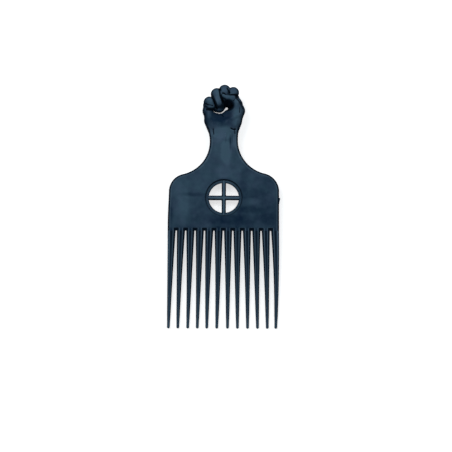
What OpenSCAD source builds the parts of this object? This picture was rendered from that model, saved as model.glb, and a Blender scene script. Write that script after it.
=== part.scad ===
// Afro pick: a flat comb with twelve long tapered tines, a round window with a
// plus-shaped cross, and a handle that ends in a raised right fist, palm side up.
//
// Frame: the pick lies on its back. +X is to the thumb's side, +Y runs to the
// fist and +Z is up, out of the palm. The origin is the centre of the bounding
// box's bottom face. Every outline is drawn about the mid plane of the comb.

/* [Comb plate] */
// Width of the plate across its straight sides
plate_w = 74.6; // [64:0.2:90]
// Thickness of the plate
plate_t = 4; // [3.4:0.1:5.4]
// Bevel along the edges of the plate
plate_bevel = 0.8; // [0.4:0.1:1.2]
// Length of the straight sides above the tine bar
side_l = 22.6; // [20:0.2:34]
// Radius of the round shoulders
shoulder_r = 12.5; // [9:0.5:14]
// Radius of the hollow curves between the shoulders and the neck
hollow_r = 23.2; // [19:0.2:28]
// Height of the flat plate above the centres of the shoulders
web_l = 14.4; // [13:0.2:18]

/* [Window] */
// Diameter of the sunk recess round the window
recess_d = 24.6; // [24:0.2:28]
// Diameter of the opening
opening_d = 20.2; // [18:0.2:22]
// Height of the window's centre above the tine bar
window_rise = 18.4; // [17:0.2:22]
// Thickness of the sunk ring
ring_t = 1.6; // [1:0.1:2.4]
// Width of a bar of the cross
cross_w = 2.9; // [1.6:0.1:3.4]
// Width of the flat along the top of a bar
cross_flat_w = 1.2; // [0.6:0.1:1.4]
// Thickness of the cross
cross_t = 2.2; // [1.4:0.1:3]

/* [Tines] */
// Number of tines
tine_count = 12; // [8:1:12]
// Length of a tine below the bar
tine_l = 65.3; // [50:0.5:90]
// Width of a tine at its root
tine_root_w = 5.2; // [4.4:0.1:5.6]
// Width of the flat along the front of a tine at its root
tine_flat_w = 2.65; // [1.6:0.05:3.2]
// Diameter of a tine at its round tip
tine_tip_d = 1.75; // [1.2:0.05:2.4]
// Length of the bar that carries the tines
bar_l = 4.2; // [3.8:0.1:6]
// Depth of a slot's floor into the bar at the faces
slot_l = 2.8; // [1.8:0.1:3.4]
// Depth of a slot into the bar at the mid plane
slot_mid_l = 0.5; // [0.3:0.1:1]

/* [Neck and wrist] */
// Least width of the neck
neck_w = 19.1; // [15:0.2:24]
// Thickness of the neck at its narrowest place
neck_t = 9.2; // [7:0.2:11]
// Length from the narrowest place to the wrist crease
wrist_l = 8.6; // [6:0.2:14]
// Width at the wrist crease
wrist_w = 22; // [20:0.2:26]
// Thickness at the wrist crease
wrist_t = 10.6; // [9:0.2:12]

/* [Fist] */
// Width of the fist across the thumb
fist_w = 28.2; // [26:0.2:32]
// Length of the fist above the wrist crease
fist_l = 29.4; // [27:0.2:36]
// Thickness of the fist from the knuckles to the thumb
fist_t = 14; // [12.6:0.2:17]
// Width of the slit below the fingertips
slit_w = 2.2; // [1.6:0.1:2.8]

/* [Gate stub] */
// Distance of the stub's upper end below the centre of the shoulder
stub_drop = 4.3; // [3:0.1:8]
// Length of the stub that the moulding gate leaves on the side
stub_l = 4.6; // [3:0.1:8]
// Height of the stub off the side
stub_h = 0.8; // [0.4:0.1:1.2]
// Thickness of the stub
stub_t = 1.8; // [1:0.1:2.6]

/* [Hidden] */
shade = "#28374a";
curve_fn = 96;
joint_fn = 24;
side_fn = 48;
overrun = plate_t / 4;

// Places along the length, from the tips to the top of the fist
shoulder_x = plate_w / 2 - shoulder_r;
hollow_x = neck_w / 2 + hollow_r;
neck_rise = sqrt(pow(shoulder_r + hollow_r, 2) - pow(hollow_x - shoulder_x, 2));
total_l = tine_l + bar_l + side_l + neck_rise + wrist_l + fist_l;
tip_y = -total_l / 2;
root_y = tip_y + tine_l;
plate_y = root_y + bar_l;
shoulder_y = plate_y + side_l;
web_y = shoulder_y + web_l;
neck_y = shoulder_y + neck_rise;
crease_y = neck_y + wrist_l;
window_y = plate_y + window_rise;
mid_z = fist_t / 2;

// Tines: the outer two are flush with the sides of the plate
pitch = (plate_w - tine_root_w) / (tine_count - 1);
// How far each tip leans out of line, as shares of the pitch
lean_shares = [-0.23, -0.19, -0.16, -0.16, -0.17, -0.16, -0.06, 0, 0.01, 0.03, 0.04, -0.11];

// Wrist: places of its sections, and how square each section is
wrist_steps = 14;
plate_power = 12;
wrist_power = 2.3;

// Joints of the hand, each [across the width, up the length, out of the mid plane,
// radius], as shares of the fist's width, length, thickness and width
thumb_shares = [
    [0.262, 0.215, 0.050, 0.165], [0.358, 0.400, 0.080, 0.140], [0.305, 0.585, 0.236, 0.110],
    [0.213, 0.680, 0.321, 0.089], [0.090, 0.715, 0.335, 0.076], [-0.012, 0.745, 0.330, 0.064]];
index_shares = [
    [0.206, 0.750, -0.236, 0.131], [0.234, 0.818, 0.130, 0.133],
    [0.170, 0.670, 0.086, 0.106], [0.156, 0.580, -0.110, 0.092]];
middle_shares = [
    [0.007, 0.780, -0.236, 0.131], [0.016, 0.860, 0.143, 0.140],
    [0.032, 0.700, 0.100, 0.110], [0.035, 0.600, -0.110, 0.092]];
ring_shares = [
    [-0.184, 0.690, -0.236, 0.131], [-0.168, 0.765, 0.186, 0.145],
    [-0.124, 0.555, 0.257, 0.106], [-0.103, 0.473, 0.086, 0.092]];
little_shares = [
    [-0.350, 0.525, -0.232, 0.130], [-0.340, 0.595, 0.170, 0.149],
    [-0.298, 0.497, 0.200, 0.113], [-0.245, 0.463, 0.040, 0.089]];
palm_shares = [
    [0.285, 0.200, 0.040, 0.163], [-0.296, 0.200, 0.040, 0.156], [0.350, 0.395, -0.036, 0.161],
    [-0.330, 0.395, -0.036, 0.158], [0.300, 0.580, -0.180, 0.135], [-0.330, 0.545, -0.200, 0.135],
    [0.220, 0.730, -0.240, 0.125], [-0.180, 0.680, -0.240, 0.120]];
// Hollow under the thumb: its centre and its three radii, as shares like the joints'
cave_shares = [0.121, 0.530, 0.260, 0.125, 0.130, 0.450];
// Slit's outer curve and the patch at its end, each a centre and a radius
slit_shares = [-0.092, 0.510, 0.206];
patch_shares = [0.060, 0.450, 0.046];

function tine_name(i) = str("tine_", i < 10 ? "0" : "", i);
function tine_x(i) = (i - (tine_count + 1) / 2) * pitch;
function ease(s) = s * s * (3 - 2 * s);
function joint_place(shares) = [shares[0] * fist_w, crease_y + shares[1] * fist_l, shares[2] * fist_t];

// Half width of the neck and wrist at a place along the length
function half_w(y) = y < neck_y
    ? hollow_x - sqrt(pow(hollow_r, 2) - pow(neck_y - y, 2))
    : neck_w / 2 + (wrist_w - neck_w) / 2 * pow((y - neck_y) / wrist_l, 2);

// Half thickness along the middle: the plate's at the web, then the neck's, then the crease's
function half_t(y) = y < neck_y
    ? (plate_t + (neck_t - plate_t) * ease((y - web_y) / (neck_y - web_y))) / 2
    : (neck_t + (wrist_t - neck_t) * ease((y - neck_y) / wrist_l)) / 2;

// Half thickness of the flat wings on both sides of the ridge, which are gone at the crease
function wing_t(y) = plate_t / 2
    + (wrist_t - plate_t) / 2 * pow(max(0, (y - web_y) / (crease_y - web_y)), 2);

// A section goes from nearly square at the plate to a round oval at the wrist
function section_power(y) = wrist_power
    + (plate_power - wrist_power) * pow(max(0, (crease_y - y) / (crease_y - web_y)), 2);

// Height of the section at a share s of its half width: a ridge between the wings
function ridge_h(y, s) = wing_t(y) + (half_t(y) - wing_t(y)) * pow(cos(90 * s), 2);

function signed_power(v, p) = sign(v) * pow(abs(v), p);
function section(y) = [for (k = [0:side_fn - 1])
    let (a = 360 * (k + 1 / 2) / side_fn, p = 2 / section_power(y), s = signed_power(cos(a), p))
    [half_w(y) * s, ridge_h(y, s) * signed_power(sin(a), p)]];

// Puts what is drawn about the mid plane at its height above the floor
module at_mid_plane() {
    translate([0, 0, mid_z]) children();
}

// One link of a finger: the two round joints and what lies between them
module link(a, b) {
    hull() {
        translate(joint_place(a)) sphere(r = a[3] * fist_w, $fn = joint_fn);
        translate(joint_place(b)) sphere(r = b[3] * fist_w, $fn = joint_fn);
    }
}

module finger(shares) {
    for (i = [1:len(shares) - 1]) link(shares[i - 1], shares[i]);
}

// Flat hexagon of a plate's edge, centred, as wide as w with the flat f
module beveled_section(w, f, t, side) {
    polygon([[-w / 2, -side / 2], [-f / 2, -t / 2], [f / 2, -t / 2], [w / 2, -side / 2],
        [w / 2, side / 2], [f / 2, t / 2], [-f / 2, t / 2], [-w / 2, side / 2]]);
}

// Turns a drawing in X and Z so that it is pulled along +Y from the place y
module along_y(y, l) {
    translate([0, y + l, 0]) rotate([90, 0, 0]) linear_extrude(l) children();
}

// Through slit below the fingertips: a crescent, wider at the thumb's end
module slit() {
    centre = joint_place([slit_shares[0], slit_shares[1], 0]);
    patch = joint_place([patch_shares[0], patch_shares[1], 0]);
    slit_r = slit_shares[2] * fist_w;
    linear_extrude(2 * fist_t, center = true) {
        difference() {
            translate([centre.x, centre.y]) circle(r = slit_r, $fn = curve_fn);
            translate([centre.x - slit_w / 4, centre.y]) circle(r = slit_r - slit_w, $fn = curve_fn);
            translate([centre.x - fist_w, centre.y - slit_w]) square([2 * fist_w, fist_l]);
        }
        translate([patch.x, patch.y]) circle(r = patch_shares[2] * fist_w, $fn = side_fn);
    }
}

// Deep hollow between the thumb and the fingers
module cave() {
    translate(joint_place(cave_shares))
        scale([cave_shares[3] * fist_w, cave_shares[4] * fist_l, cave_shares[5] * fist_t])
            sphere(r = 1, $fn = joint_fn);
}

module palm() {
    color(shade) at_mid_plane() difference() {
        hull() {
            along_y(crease_y, fist_l / 100) polygon(section(crease_y));
            for (s = palm_shares) translate(joint_place(s)) sphere(r = s[3] * fist_w, $fn = joint_fn);
        }
        cave();
        slit();
        finger(thumb_shares);
        finger(index_shares);
        finger(middle_shares);
        finger(ring_shares);
        finger(little_shares);
    }
}

module thumb() {
    color(shade) at_mid_plane() finger(thumb_shares);
}

module index_finger() {
    color(shade) at_mid_plane() difference() {
        finger(index_shares);
        finger(thumb_shares);
    }
}

module middle_finger() {
    color(shade) at_mid_plane() difference() {
        finger(middle_shares);
        finger(thumb_shares);
        finger(index_shares);
    }
}

module ring_finger() {
    color(shade) at_mid_plane() difference() {
        finger(ring_shares);
        finger(thumb_shares);
        finger(middle_shares);
    }
}

module little_finger() {
    color(shade) at_mid_plane() difference() {
        finger(little_shares);
        finger(ring_shares);
    }
}

// Loft from the flat plate to the oval wrist
module wrist() {
    rings = [for (i = [0:wrist_steps]) web_y + (crease_y - web_y) * i / wrist_steps];
    points = [for (y = rings, p = section(y)) [p.x, y, p.y]];
    sides = [for (i = [0:wrist_steps - 1], k = [0:side_fn - 1])
        let (a = i * side_fn, b = a + side_fn, n = (k + 1) % side_fn)
        each [[a + k, a + n, b + k], [a + n, b + n, b + k]]];
    ends = [[for (k = [side_fn - 1:-1:0]) k],
        [for (k = [0:side_fn - 1]) wrist_steps * side_fn + k]];
    color(shade) at_mid_plane() polyhedron(points, concat(sides, ends));
}

// Round shoulder with beveled rims
module shoulder(x) {
    translate([x, shoulder_y, 0]) rotate_extrude($fn = curve_fn)
        polygon([[0, -plate_t / 2], [shoulder_r - plate_bevel, -plate_t / 2],
            [shoulder_r, plate_bevel - plate_t / 2], [shoulder_r, plate_t / 2 - plate_bevel],
            [shoulder_r - plate_bevel, plate_t / 2], [0, plate_t / 2]]);
}

// Cutter of a hollow curve, flared so that it leaves the same bevel
module hollow(x) {
    flare = hollow_r + plate_bevel + overrun;
    height = plate_t / 2 + overrun;
    translate([x, neck_y, 0]) rotate_extrude($fn = curve_fn)
        polygon([[0, -height], [flare, -height], [hollow_r, plate_bevel - plate_t / 2],
            [hollow_r, plate_t / 2 - plate_bevel], [flare, height], [0, height]]);
}

module blade() {
    // The web's sides run from each shoulder's centre towards its hollow's centre
    web_x = shoulder_x + (hollow_x - shoulder_x) * web_l / neck_rise;
    color(shade) at_mid_plane() difference() {
        union() {
            along_y(plate_y, side_l)
                beveled_section(plate_w, plate_w - 2 * plate_bevel, plate_t, plate_t - 2 * plate_bevel);
            shoulder(-shoulder_x);
            shoulder(shoulder_x);
            linear_extrude(plate_t, center = true)
                polygon([[-shoulder_x, shoulder_y], [shoulder_x, shoulder_y],
                    [web_x, web_y], [-web_x, web_y]]);
        }
        hollow(-hollow_x);
        hollow(hollow_x);
        translate([0, window_y, 0])
            cylinder(d = recess_d, h = plate_t + 2 * overrun, center = true, $fn = curve_fn);
    }
}

module window_ring() {
    color(shade) at_mid_plane() translate([0, window_y, 0]) difference() {
        cylinder(d = recess_d, h = ring_t, center = true, $fn = curve_fn);
        cylinder(d = opening_d, h = ring_t + 2 * overrun, center = true, $fn = curve_fn);
    }
}

// Plus-shaped cross whose ends follow the opening
module window_cross() {
    color(shade) at_mid_plane() translate([0, window_y, 0]) intersection() {
        for (turn = [0, 90]) rotate([0, 0, turn]) along_y(-opening_d, 2 * opening_d)
            beveled_section(cross_w, cross_flat_w, cross_t, cross_t / 4);
        cylinder(d = opening_d, h = cross_t + 2 * overrun, center = true, $fn = curve_fn);
    }
}

// Slot between two tines: narrow at the mid plane, with sloping walls and floor
module slot(x) {
    height = plate_t / 2 + overrun;
    slope = (tine_root_w - tine_flat_w) / plate_t;
    narrow = (pitch - tine_root_w) / 2;
    wide = narrow + slope * height;
    floor_slope = (slot_l - slot_mid_l) / (plate_t / 2);
    intersection() {
        along_y(root_y - overrun, bar_l + overrun)
            polygon([[x - wide, -height], [x + wide, -height], [x + narrow, 0],
                [x + wide, height], [x - wide, height], [x - narrow, 0]]);
        translate([x - pitch / 2, 0, 0]) rotate([90, 0, 90]) linear_extrude(pitch)
            polygon([[root_y - 2 * overrun, -height], [root_y + slot_mid_l + floor_slope * height, -height],
                [root_y + slot_mid_l, 0], [root_y + slot_mid_l + floor_slope * height, height],
                [root_y - 2 * overrun, height]]);
    }
}

module tine_bar() {
    color(shade) at_mid_plane() difference() {
        along_y(root_y, bar_l)
            beveled_section(plate_w, plate_w - 2 * plate_bevel, plate_t, plate_t - 2 * plate_bevel);
        for (i = [1:tine_count - 1]) slot(tine_x(i) + pitch / 2);
    }
}

// Tapered tine of six sides with a round tip that leans by its share of the pitch
module tine(i) {
    root_l = tine_l / 100;
    color(shade) at_mid_plane() hull() {
        along_y(root_y - root_l, root_l) translate([tine_x(i), 0])
            polygon([[-tine_root_w / 2, 0], [-tine_flat_w / 2, -plate_t / 2], [tine_flat_w / 2, -plate_t / 2],
                [tine_root_w / 2, 0], [tine_flat_w / 2, plate_t / 2], [-tine_flat_w / 2, plate_t / 2]]);
        translate([tine_x(i) + lean_shares[i - 1] * pitch, tip_y + tine_tip_d / 2, 0])
            sphere(d = tine_tip_d, $fn = joint_fn);
    }
}

// Wedge left on the side where the moulding gate was cut off
module gate_stub() {
    top_y = shoulder_y - stub_drop;
    color(shade) at_mid_plane() linear_extrude(stub_t, center = true)
        polygon([[plate_w / 2, top_y], [plate_w / 2 + stub_h, top_y], [plate_w / 2, top_y - stub_l]]);
}

palm();
thumb();
index_finger();
middle_finger();
ring_finger();
little_finger();
wrist();
blade();
window_ring();
window_cross();
gate_stub();
tine_bar();
for (i = [1:tine_count])
    tine(i);
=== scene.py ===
"""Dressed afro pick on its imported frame: comb plate, twelve tines, barred window, fist handle.

Every piece is drawn in millimetres about the mid plane of the comb and goes into the
frame's metres when its mesh is made. +X is the thumb's side, +Y runs to the fist and +Z
comes out of the palm.
"""

import logging
import math
from collections.abc import Sequence
from dataclasses import dataclass, field
from enum import Enum

import bmesh
import bpy
import numpy as np
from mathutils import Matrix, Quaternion, Vector
from mathutils.geometry import tessellate_polygon


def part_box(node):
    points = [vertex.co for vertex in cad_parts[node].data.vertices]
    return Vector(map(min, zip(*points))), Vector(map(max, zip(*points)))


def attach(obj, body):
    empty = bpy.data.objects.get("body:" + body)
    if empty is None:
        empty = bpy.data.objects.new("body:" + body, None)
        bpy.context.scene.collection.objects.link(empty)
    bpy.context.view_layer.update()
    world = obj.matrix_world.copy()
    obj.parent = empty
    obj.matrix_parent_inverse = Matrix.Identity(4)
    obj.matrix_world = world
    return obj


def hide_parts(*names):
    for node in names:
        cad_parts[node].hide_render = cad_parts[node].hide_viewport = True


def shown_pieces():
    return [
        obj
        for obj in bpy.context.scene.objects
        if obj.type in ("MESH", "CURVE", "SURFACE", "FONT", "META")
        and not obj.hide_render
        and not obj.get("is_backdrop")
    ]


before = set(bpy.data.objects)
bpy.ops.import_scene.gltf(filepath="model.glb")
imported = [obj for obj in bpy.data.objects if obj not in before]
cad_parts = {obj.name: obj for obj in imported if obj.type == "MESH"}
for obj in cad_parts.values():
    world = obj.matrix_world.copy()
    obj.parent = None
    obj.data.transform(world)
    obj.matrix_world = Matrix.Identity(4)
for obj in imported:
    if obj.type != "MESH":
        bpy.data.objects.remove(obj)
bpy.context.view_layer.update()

Array = np.ndarray
Joint = tuple[float, float, float, float]
Spot = tuple[float, float]
Span = tuple[float, float]
Place = tuple[float, float, float]
Colour = tuple[float, float, float]

LOG = logging.getLogger("afro_pick")
MM = 0.001
BODY = "root"
WHITE = (1.0, 1.0, 1.0, 1.0)

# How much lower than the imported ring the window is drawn, in millimetres.
WINDOW_DROP = 0.25


# Shared places and maths.


@dataclass(frozen=True)
class Layout:
    """Places and sizes that several pieces share, in millimetres, read from the frame."""

    mid_z: float
    plate_w: float
    plate_t: float
    tip_y: float
    root_y: float
    plate_y: float
    web_y: float
    crease_y: float
    window_y: float
    recess_r: float
    opening_r: float
    ring_t: float
    cross_t: float
    window_x: float = 0.2
    left_shift: float = 0.68
    left_rise: Span = (-12.0, 14.0)
    left_fall: Span = (26.0, 50.0)

    @classmethod
    def from_frame(cls) -> "Layout":
        """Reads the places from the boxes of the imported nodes.

        Returns:
            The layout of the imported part.
        """
        bar_lo, bar_hi = (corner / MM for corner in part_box("tine_bar"))
        neck_lo, neck_hi = (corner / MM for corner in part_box("wrist"))
        ring_lo, ring_hi = (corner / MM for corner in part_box("window_ring"))
        cross_lo, cross_hi = (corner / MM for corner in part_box("window_cross"))
        tine_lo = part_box("tine_01")[0] / MM
        return cls(
            mid_z=(bar_lo.z + bar_hi.z) / 2,
            plate_w=bar_hi.x - bar_lo.x,
            plate_t=bar_hi.z - bar_lo.z,
            tip_y=tine_lo.y,
            root_y=bar_lo.y,
            plate_y=bar_hi.y,
            web_y=neck_lo.y,
            crease_y=neck_hi.y,
            window_y=(ring_lo.y + ring_hi.y) / 2 - WINDOW_DROP,
            recess_r=(ring_hi.x - ring_lo.x) / 2,
            opening_r=(cross_hi.x - cross_lo.x) / 2,
            ring_t=ring_hi.z - ring_lo.z,
            cross_t=cross_hi.z - cross_lo.z,
        )

    def left_in(self, y: Array) -> Array:
        """How much further in the left shoulder and hollow lie than the right ones."""
        return self.left_shift * ease(y, *self.left_rise) * (1.0 - ease(y, *self.left_fall))

    def to_frame(self, points: Array) -> Array:
        """Points about the mid plane in millimetres, as points of the frame in metres."""
        return (points + np.array((0.0, 0.0, self.mid_z))) * MM


def ease(value: Array, low: float = 0.0, high: float = 1.0) -> Array:
    """Smooth step of a value from 0 at low to 1 at high."""
    share = np.clip((value - low) / (high - low), 0.0, 1.0)
    return share * share * (3.0 - 2.0 * share)


def soft_min(first: Array, second: Array, reach: float) -> Array:
    """Union of two distances, filleted over a reach in millimetres."""
    near = np.maximum(reach - np.abs(first - second), 0.0)
    return np.minimum(first, second) - near * near / (4.0 * reach)


def soft_max(first: Array, second: Array, reach: float) -> Array:
    """Intersection of two distances, rounded over a reach in millimetres."""
    return -soft_min(-first, -second, reach)


def link_distance(x: Array, y: Array, z: Array, start: Joint, end: Joint) -> Array:
    """Distance to the round link that spans two joints of their own radii.

    Args:
        x: First coordinates.
        y: Second coordinates.
        z: Third coordinates.
        start: Place and radius of the first joint.
        end: Place and radius of the second joint.

    Returns:
        Distances, below zero inside the link.
    """
    ax, ay, az, ar = start
    dx, dy, dz, dr = (e - s for s, e in zip(start, end))
    length = dx * dx + dy * dy + dz * dz
    share = np.clip(((x - ax) * dx + (y - ay) * dy + (z - az) * dz) / length, 0.0, 1.0)
    gap = (x - ax - share * dx) ** 2 + (y - ay - share * dy) ** 2 + (z - az - share * dz) ** 2
    return np.sqrt(gap) - ar - share * dr


def chain_distance(x: Array, y: Array, z: Array, joints: Sequence[Joint], reach: float) -> Array:
    """Distance to a chain of links.

    Args:
        x: First coordinates.
        y: Second coordinates.
        z: Third coordinates.
        joints: Places and radii of the joints, in order.
        reach: Reach of the fillets at the bends.

    Returns:
        Distances, below zero inside the chain.
    """
    found = link_distance(x, y, z, joints[0], joints[1])
    for start, end in zip(joints[1:], joints[2:]):
        found = soft_min(found, link_distance(x, y, z, start, end), reach)
    return found


# Meshes.


@dataclass
class Shell:
    """A closed mesh in the making, in millimetres about the mid plane."""

    points: list[Array] = field(default_factory=list)
    wear_and_highlight: list[Array] = field(default_factory=list)
    painted_shade: list[Array] = field(default_factory=list)
    faces: list[tuple[int, ...]] = field(default_factory=list)
    seams: list[tuple[int, ...]] = field(default_factory=list)
    flats: dict[int, float] = field(default_factory=dict)
    normals: Array | None = None
    steep_span: Span = (0.16, 0.46)
    steep_shade: float = 0.95
    count: int = 0

    def add(self, points: Array, wear_and_highlight: float | Array = 0.0, painted_shade: float | Array = 0.0) -> Array:
        """Adds a row of points.

        Args:
            points: The points, one to a line.
            wear_and_highlight: How worn each point is and how much painted highlight it gets, from 0 to
                1.
            painted_shade: How much painted shade each point gets, from 0 to 1.

        Returns:
            The points' numbers.
        """
        points = np.asarray(points, float).reshape(-1, 3)
        numbers = np.arange(self.count, self.count + len(points))
        self.count += len(points)
        self.points.append(points)
        self.wear_and_highlight.append(np.broadcast_to(np.asarray(wear_and_highlight, float), len(points)))
        self.painted_shade.append(np.broadcast_to(np.asarray(painted_shade, float), len(points)))
        return numbers

    def bridge(self, first: Array, second: Array, seam: Array | None = None) -> None:
        """Joins two closed rows of as many points with quads.

        Args:
            first: Numbers of the lower row, counter-clockwise seen from above.
            second: Numbers of the upper row.
            seam: For each step along the rows, whether its quad is hidden in a joint face.
        """
        quads = zip(first, np.roll(first, -1), np.roll(second, -1), second)
        for step, quad in enumerate(quads):
            hidden = seam is not None and bool(seam[step])
            (self.seams if hidden else self.faces).append(tuple(int(i) for i in quad))

    def fill(self, rows: Sequence[Array], up: bool) -> None:
        """Fills a flat outline with faces.

        Args:
            rows: Numbers of the outline's points, then those of each hole.
            up: Whether the faces look up.
        """
        numbers = np.concatenate(rows)
        everything = np.concatenate(self.points)
        outlines = [[Vector(everything[i]) for i in row] for row in rows]
        for triangle in tessellate_polygon(outlines):
            a, b, c = (int(numbers[i]) for i in triangle)
            ab, ac = everything[b] - everything[a], everything[c] - everything[a]
            turn = ab[0] * ac[1] - ab[1] * ac[0]
            self.faces.append((a, b, c) if (turn > 0) == up else (a, c, b))
        for i in numbers:
            self.flats[int(i)] = 1.0 if up else -1.0

    def cap(self, row: Array, seam: bool) -> None:
        """Closes the end of a row with one face, hidden in a joint face or in view."""
        (self.seams if seam else self.faces).append(tuple(int(i) for i in row))

    def point_normals(self) -> Array:
        """Works out the points' normals from the faces in view, weighted by their area.

        Returns:
            One normal to a line, of length 1.
        """
        points = np.concatenate(self.points)
        total = np.zeros_like(points)
        for size in (3, 4):
            picked = np.array([f for f in self.faces if len(f) == size], int).reshape(-1, size)
            if not len(picked):
                continue
            corners = points[picked]
            ends = (corners[:, 1], corners[:, 2]) if size == 3 else (corners[:, 2], corners[:, 3])
            starts = (corners[:, 0], corners[:, 0]) if size == 3 else (corners[:, 0], corners[:, 1])
            area = np.cross(ends[0] - starts[0], ends[1] - starts[1])
            for corner in range(size):
                np.add.at(total, picked[:, corner], area)
        for number, sign in self.flats.items():
            total[number] = (0.0, 0.0, sign)
        length = np.linalg.norm(total, axis=1, keepdims=True)
        return np.where(length > 0, total / np.maximum(length, 1e-12), (0.0, 0.0, 1.0))

    def make(self, name: str, layout: Layout, dress: bpy.types.Material) -> bpy.types.Object:
        """Makes the object, in the frame's metres.

        Args:
            name: Name of the piece.
            layout: The shared places.
            dress: Its material.

        Returns:
            The new object, linked to the scene.
        """
        normals = self.point_normals() if self.normals is None else self.normals
        # Painted shade darkens steep sides, and the worn highlight is taken off them.
        steep = ease(1.0 - np.abs(normals[:, 2]), *self.steep_span) * self.steep_shade
        painted_shade = np.maximum(np.concatenate(self.painted_shade), steep)
        wear_and_highlight = np.concatenate(self.wear_and_highlight) * (1.0 - steep)
        mesh = bpy.data.meshes.new(name)
        points = layout.to_frame(np.concatenate(self.points))
        mesh.from_pydata(points.tolist(), [], self.faces + self.seams)
        mesh.polygons.foreach_set("use_smooth", np.ones(len(mesh.polygons), bool))
        mesh.normals_split_custom_set_from_vertices(normals.tolist())
        for label, values in (("wear_and_highlight", wear_and_highlight), ("painted_shade", painted_shade)):
            layer = mesh.attributes.new(label, "FLOAT", "POINT")
            layer.data.foreach_set("value", values.astype(np.float32))
        mesh.materials.append(dress)
        piece = bpy.data.objects.new(name, mesh)
        bpy.context.scene.collection.objects.link(piece)
        return piece


def settle(piece: bpy.types.Object, *nodes: str) -> bpy.types.Object:
    """Puts a piece on the body in place of its nodes, and reports it.

    Args:
        piece: The piece.
        nodes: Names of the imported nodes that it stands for.

    Returns:
        The same piece.
    """
    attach(piece, BODY)
    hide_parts(*nodes)
    LOG.info("%s: %d faces, stands for %s", piece.name, len(piece.data.polygons), ", ".join(nodes))
    return piece


# Materials.


@dataclass(frozen=True)
class Sock:
    """A value in a node tree, on which sums are written as in Python."""

    tree: "Tree"
    link: bpy.types.NodeSocket

    def __add__(self, other: "Sock | float") -> "Sock":
        """This value plus another."""
        return self.tree.number("ADD", self, other)

    def __radd__(self, other: float) -> "Sock":
        """A number plus this value."""
        return self.tree.number("ADD", other, self)

    def __sub__(self, other: "Sock | float") -> "Sock":
        """This value less another."""
        return self.tree.number("SUBTRACT", self, other)

    def __rsub__(self, other: float) -> "Sock":
        """A number less this value."""
        return self.tree.number("SUBTRACT", other, self)

    def __mul__(self, other: "Sock | float") -> "Sock":
        """This value times another."""
        return self.tree.number("MULTIPLY", self, other)

    def __rmul__(self, other: float) -> "Sock":
        """A number times this value."""
        return self.tree.number("MULTIPLY", other, self)


Value = Sock | float | int | Sequence[float]


class Tree:
    """The nodes of one material or world."""

    def __init__(self, owner: bpy.types.Material | bpy.types.World) -> None:
        """Empties the owner's node tree.

        Args:
            owner: The material or world whose nodes these are.
        """
        owner.use_nodes = True
        self.nodes = owner.node_tree.nodes
        self.links = owner.node_tree.links
        self.nodes.clear()

    def node(
        self,
        kind: str,
        settings: dict[str, object] | None = None,
        sockets: dict[str, Value] | None = None,
    ) -> bpy.types.Node:
        """Adds a node.

        Args:
            kind: Its type, without the leading "ShaderNode".
            settings: Its settings, set first.
            sockets: Values or links of its sockets, by identifier.

        Returns:
            The node.
        """
        node = self.nodes.new("ShaderNode" + kind)
        for key, value in (settings or {}).items():
            setattr(node, key, value)
        by_name = {socket.identifier: socket for socket in node.inputs}
        for key, value in (sockets or {}).items():
            if isinstance(value, Sock):
                self.links.new(value.link, by_name[key])
            else:
                by_name[key].default_value = value
        return node

    def value(
        self,
        kind: str,
        output: str,
        settings: dict[str, object] | None = None,
        sockets: dict[str, Value] | None = None,
    ) -> Sock:
        """Adds a node and returns one of its outputs, named by identifier."""
        node = self.node(kind, settings, sockets)
        return Sock(self, next(s for s in node.outputs if s.identifier == output))

    def number(self, operation: str, first: Value, second: Value) -> Sock:
        """Works out one sum on two values."""
        sockets = {"Value": first, "Value_001": second}
        return self.value("Math", "Value", {"operation": operation}, sockets)

    def span(self, value: Sock, low: float, high: float, start: float = 0.0, end: float = 1.0) -> Sock:
        """Turns values from low to high into a smooth run from start to end."""
        sockets = {"Value": value, "From Min": low, "From Max": high, "To Min": start, "To Max": end}
        return self.value("MapRange", "Result", {"interpolation_type": "SMOOTHSTEP"}, sockets)

    def mix(self, share: Value, first: Value, second: Value) -> Sock:
        """Mixes two colours."""
        sockets = {"Factor_Float": share, "A_Color": first, "B_Color": second}
        return self.value("Mix", "Result_Color", {"data_type": "RGBA"}, sockets)

    def noise(self, where: Sock, scale: float, detail: float = 2.0, warp: float = 0.0) -> Sock:
        """Noise about 0.5, with its scale in waves to a unit of the coordinates."""
        sockets = {"Vector": where, "Scale": scale, "Detail": detail, "Distortion": warp}
        return self.value("TexNoise", "Fac", None, sockets)

    def place(self, scale: Place = (1.0, 1.0, 1.0), shift: Place = (0.0, 0.0, 0.0)) -> Sock:
        """Gives the frame's coordinates in millimetres.

        Args:
            scale: Scale of each axis.
            shift: What is added to them once they are scaled.

        Returns:
            The coordinates.
        """
        spot = self.value("TexCoord", "Object")
        size = tuple(s / MM for s in scale)
        return self.value("Mapping", "Vector", None, {"Vector": spot, "Scale": size, "Location": shift})

    def shown(self) -> Sock:
        """Tells whether the camera sees the surface, also mirrored or through glass.

        Returns:
            1 where it does, and else 0.
        """
        path = self.node("LightPath")
        straight, glossy, through = (
            Sock(self, path.outputs[name])
            for name in ("Is Camera Ray", "Is Glossy Ray", "Is Transmission Ray")
        )
        return self.number("MAXIMUM", straight, self.number("MAXIMUM", glossy, through))

    def attribute(self, name: str) -> Sock:
        """A number that the mesh carries at its points."""
        return self.value("Attribute", "Fac", {"attribute_name": name})


def opaque(colour: Colour) -> tuple[float, float, float, float]:
    """A colour with full alpha."""
    return (*colour, 1.0)


class Streak(Enum):
    """Which way the moulding's fine streaks run, as a scale of each axis."""

    CLOUDY = (0.30, 0.30, 0.30)
    ALONG_TINES = (1.1, 0.05, 1.1)


@dataclass(frozen=True)
class PaintedLightPatch:
    """A soft oval of painted light or, with a share below zero, of painted shade.

    Its centre and half sizes are in the frame's millimetres, across and up.
    """

    centre: Spot
    half: Spot
    share: float
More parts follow.
